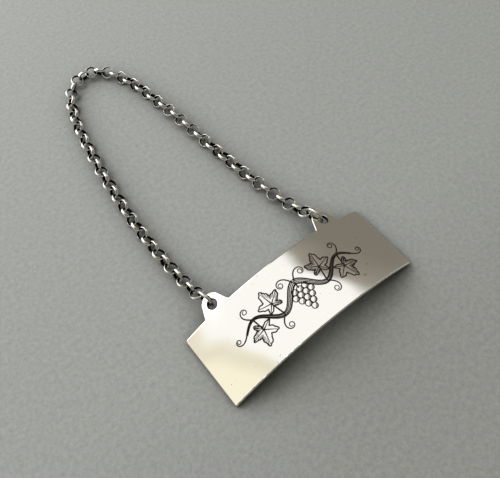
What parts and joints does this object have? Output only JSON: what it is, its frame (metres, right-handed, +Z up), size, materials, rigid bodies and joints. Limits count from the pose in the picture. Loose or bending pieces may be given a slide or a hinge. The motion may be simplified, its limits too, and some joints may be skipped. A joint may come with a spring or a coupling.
{
  "type": "wine label",
  "caption": "Curved silver wine label with pierced ears and a belcher chain on jump rings, which hangs it round a bottle's neck",
  "frame": {"origin": "on the table that the label lies on, under the middle of the plate", "axes": "+X along the plate, +Y from its lower edge to its ears and on to the chain's crest, +Z up, out of its face"},
  "size_m": [0.05, 0.1008, 0.0077],
  "materials": {
    "polished_silver": "polished, softly worn",
    "silver_wire": "polished",
    "oxidised_silver": "worn, with dark tarnish in the recesses"
  },
  "bodies": {
    "plate": {"plate": "polished_silver"},
    "jump_rings": {"left_jump_ring": "silver_wire", "right_jump_ring": "silver_wire"},
    "pair_01": {"link_pair_01": "oxidised_silver"},
    "pair_02": {"link_pair_02": "oxidised_silver"},
    "pair_03": {"link_pair_03": "oxidised_silver"},
    "pair_04": {"link_pair_04": "oxidised_silver"},
    "pair_05": {"link_pair_05": "oxidised_silver"},
    "pair_06": {"link_pair_06": "oxidised_silver"},
    "pair_07": {"link_pair_07": "oxidised_silver"},
    "pair_08": {"link_pair_08": "oxidised_silver"},
    "pair_09": {"link_pair_09": "oxidised_silver"},
    "pair_10": {"link_pair_10": "oxidised_silver"},
    "pair_11": {"link_pair_11": "oxidised_silver"},
    "pair_12": {"link_pair_12": "oxidised_silver"},
    "pair_13": {"link_pair_13": "oxidised_silver"},
    "pair_14": {"link_pair_14": "oxidised_silver"},
    "pair_15": {"link_pair_15": "oxidised_silver"},
    "pair_16": {"link_pair_16": "oxidised_silver"},
    "pair_17": {"link_pair_17": "oxidised_silver"},
    "pair_18": {"link_pair_18": "oxidised_silver"},
    "pair_19": {"link_pair_19": "oxidised_silver"},
    "pair_20": {"link_pair_20": "oxidised_silver"},
    "pair_21": {"link_pair_21": "oxidised_silver"},
    "pair_22": {"link_pair_22": "oxidised_silver"},
    "pair_23": {"link_pair_23": "oxidised_silver"},
    "pair_24": {"link_pair_24": "oxidised_silver"},
    "pair_25": {"link_pair_25": "oxidised_silver"},
    "pair_26": {"link_pair_26": "oxidised_silver"},
    "pair_27": {"link_pair_27": "oxidised_silver"},
    "pair_28": {"link_pair_28": "oxidised_silver"},
    "pair_29": {"link_pair_29": "oxidised_silver"},
    "pair_30": {"link_pair_30": "oxidised_silver"},
    "crest": {"link_pair_31": "oxidised_silver", "link_pair_32": "oxidised_silver", "link_pair_33": "oxidised_silver", "crest_link": "oxidised_silver"}
  },
  "joints": [
    {"name": "ring_swing", "type": "hinge", "parent": "plate", "child": "jump_rings", "pos_m": [0, 0.01224, 0.0047], "axis": [1, 0, 0], "range_deg": [-40, 90]},
    {"name": "first_link_fold", "type": "hinge", "parent": "jump_rings", "child": "pair_01", "pos_m": [0, 0.01276, 0.00426], "axis": [1, 0, 0], "range_deg": [-40, 40]},
    {"name": "fold_02_near", "type": "hinge", "parent": "pair_01", "child": "pair_02", "pos_m": [0, 0.0166, 0.00285], "axis": [1, 0, 0], "range_deg": [-25, 20]},
    {"name": "fold_02_far", "type": "hinge", "parent": "pair_02", "child": "pair_03", "pos_m": [0, 0.01894, 0.00224], "axis": [1, 0, 0], "range_deg": [-25, 20]},
    {"name": "fold_04_near", "type": "hinge", "parent": "pair_03", "child": "pair_04", "pos_m": [0, 0.02133, 0.00186], "axis": [-1, 0, 0], "range_deg": [-25, 25]},
    {"name": "fold_04_far", "type": "hinge", "parent": "pair_04", "child": "pair_05", "pos_m": [0, 0.02374, 0.00166], "axis": [-1, 0, 0], "range_deg": [-20, 25]},
    {"name": "fold_06_near", "type": "hinge", "parent": "pair_05", "child": "pair_06", "pos_m": [0, 0.02617, 0.00164], "axis": [1, 0, 0], "range_deg": [-25, 25]},
    {"name": "fold_06_far", "type": "hinge", "parent": "pair_06", "child": "pair_07", "pos_m": [0, 0.02859, 0.00159], "axis": [1, 0, 0], "range_deg": [-25, 20]},
    {"name": "fold_08_near", "type": "hinge", "parent": "pair_07", "child": "pair_08", "pos_m": [0, 0.03102, 0.00152], "axis": [-1, 0, 0], "range_deg": [-30, 30]},
    {"name": "fold_08_far", "type": "hinge", "parent": "pair_08", "child": "pair_09", "pos_m": [0, 0.03344, 0.00143], "axis": [-1, 0, 0], "range_deg": [-20, 30]},
    {"name": "fold_10_near", "type": "hinge", "parent": "pair_09", "child": "pair_10", "pos_m": [0, 0.03587, 0.00142], "axis": [1, 0, 0], "range_deg": [-30, 30]},
    {"name": "fold_10_far", "type": "hinge", "parent": "pair_10", "child": "pair_11", "pos_m": [0, 0.03829, 0.00148], "axis": [1, 0, 0], "range_deg": [-30, 25]},
    {"name": "fold_12_near", "type": "hinge", "parent": "pair_11", "child": "pair_12", "pos_m": [0, 0.04071, 0.0015], "axis": [-1, 0, 0], "range_deg": [-30, 25]},
    {"name": "fold_12_far", "type": "hinge", "parent": "pair_12", "child": "pair_13", "pos_m": [0, 0.04313, 0.00148], "axis": [-1, 0, 0], "range_deg": [-30, 30]},
    {"name": "fold_14_near", "type": "hinge", "parent": "pair_13", "child": "pair_14", "pos_m": [0, 0.04556, 0.00142], "axis": [1, 0, 0], "range_deg": [-25, 25]},
    {"name": "fold_14_far", "type": "hinge", "parent": "pair_14", "child": "pair_15", "pos_m": [0, 0.04798, 0.00143], "axis": [1, 0, 0], "range_deg": [-30, 30]},
    {"name": "fold_16_near", "type": "hinge", "parent": "pair_15", "child": "pair_16", "pos_m": [0, 0.0504, 0.00152], "axis": [-1, 0, 0], "range_deg": [-25, 25]},
    {"name": "fold_16_far", "type": "hinge", "parent": "pair_16", "child": "pair_17", "pos_m": [0, 0.05281, 0.00159], "axis": [-1, 0, 0], "range_deg": [-30, 30]},
    {"name": "fold_18_near", "type": "hinge", "parent": "pair_17", "child": "pair_18", "pos_m": [0, 0.05523, 0.00164], "axis": [1, 0, 0], "range_deg": [-25, 30]},
    {"name": "fold_18_far", "type": "hinge", "parent": "pair_18", "child": "pair_19", "pos_m": [0, 0.05765, 0.00166], "axis": [1, 0, 0], "range_deg": [-25, 25]},
    {"name": "fold_20_near", "type": "hinge", "parent": "pair_19", "child": "pair_20", "pos_m": [0, 0.06007, 0.00166], "axis": [-1, 0, 0], "range_deg": [-30, 25]},
    {"name": "fold_20_far", "type": "hinge", "parent": "pair_20", "child": "pair_21", "pos_m": [0, 0.06248, 0.00164], "axis": [-1, 0, 0], "range_deg": [-25, 25]},
    {"name": "fold_22_near", "type": "hinge", "parent": "pair_21", "child": "pair_22", "pos_m": [0, 0.06489, 0.00159], "axis": [1, 0, 0], "range_deg": [-25, 30]},
    {"name": "fold_22_far", "type": "hinge", "parent": "pair_22", "child": "pair_23", "pos_m": [0, 0.0673, 0.00152], "axis": [1, 0, 0], "range_deg": [-25, 20]},
    {"name": "fold_24_near", "type": "hinge", "parent": "pair_23", "child": "pair_24", "pos_m": [0, 0.06971, 0.00143], "axis": [-1, 0, 0], "range_deg": [-30, 30]},
    {"name": "fold_24_far", "type": "hinge", "parent": "pair_24", "child": "pair_25", "pos_m": [0, 0.07211, 0.00142], "axis": [-1, 0, 0], "range_deg": [-20, 30]},
    {"name": "fold_26_near", "type": "hinge", "parent": "pair_25", "child": "pair_26", "pos_m": [0, 0.0745, 0.00148], "axis": [1, 0, 0], "range_deg": [-25, 30]},
    {"name": "fold_26_far", "type": "hinge", "parent": "pair_26", "child": "pair_27", "pos_m": [0, 0.07688, 0.0015], "axis": [1, 0, 0], "range_deg": [-30, 25]},
    {"name": "fold_28_near", "type": "hinge", "parent": "pair_27", "child": "pair_28", "pos_m": [0, 0.07923, 0.00148], "axis": [-1, 0, 0], "range_deg": [-30, 20]},
    {"name": "fold_28_far", "type": "hinge", "parent": "pair_28", "child": "pair_29", "pos_m": [0, 0.08156, 0.00142], "axis": [-1, 0, 0], "range_deg": [-20, 30]},
    {"name": "fold_30_near", "type": "hinge", "parent": "pair_29", "child": "pair_30", "pos_m": [0, 0.08381, 0.00143], "axis": [1, 0, 0], "range_deg": [-20, 25]},
    {"name": "fold_30_far", "type": "hinge", "parent": "pair_30", "child": "crest", "pos_m": [0, 0.08596, 0.00152], "axis": [1, 0, 0], "range_deg": [-30, 25]}
  ]
}
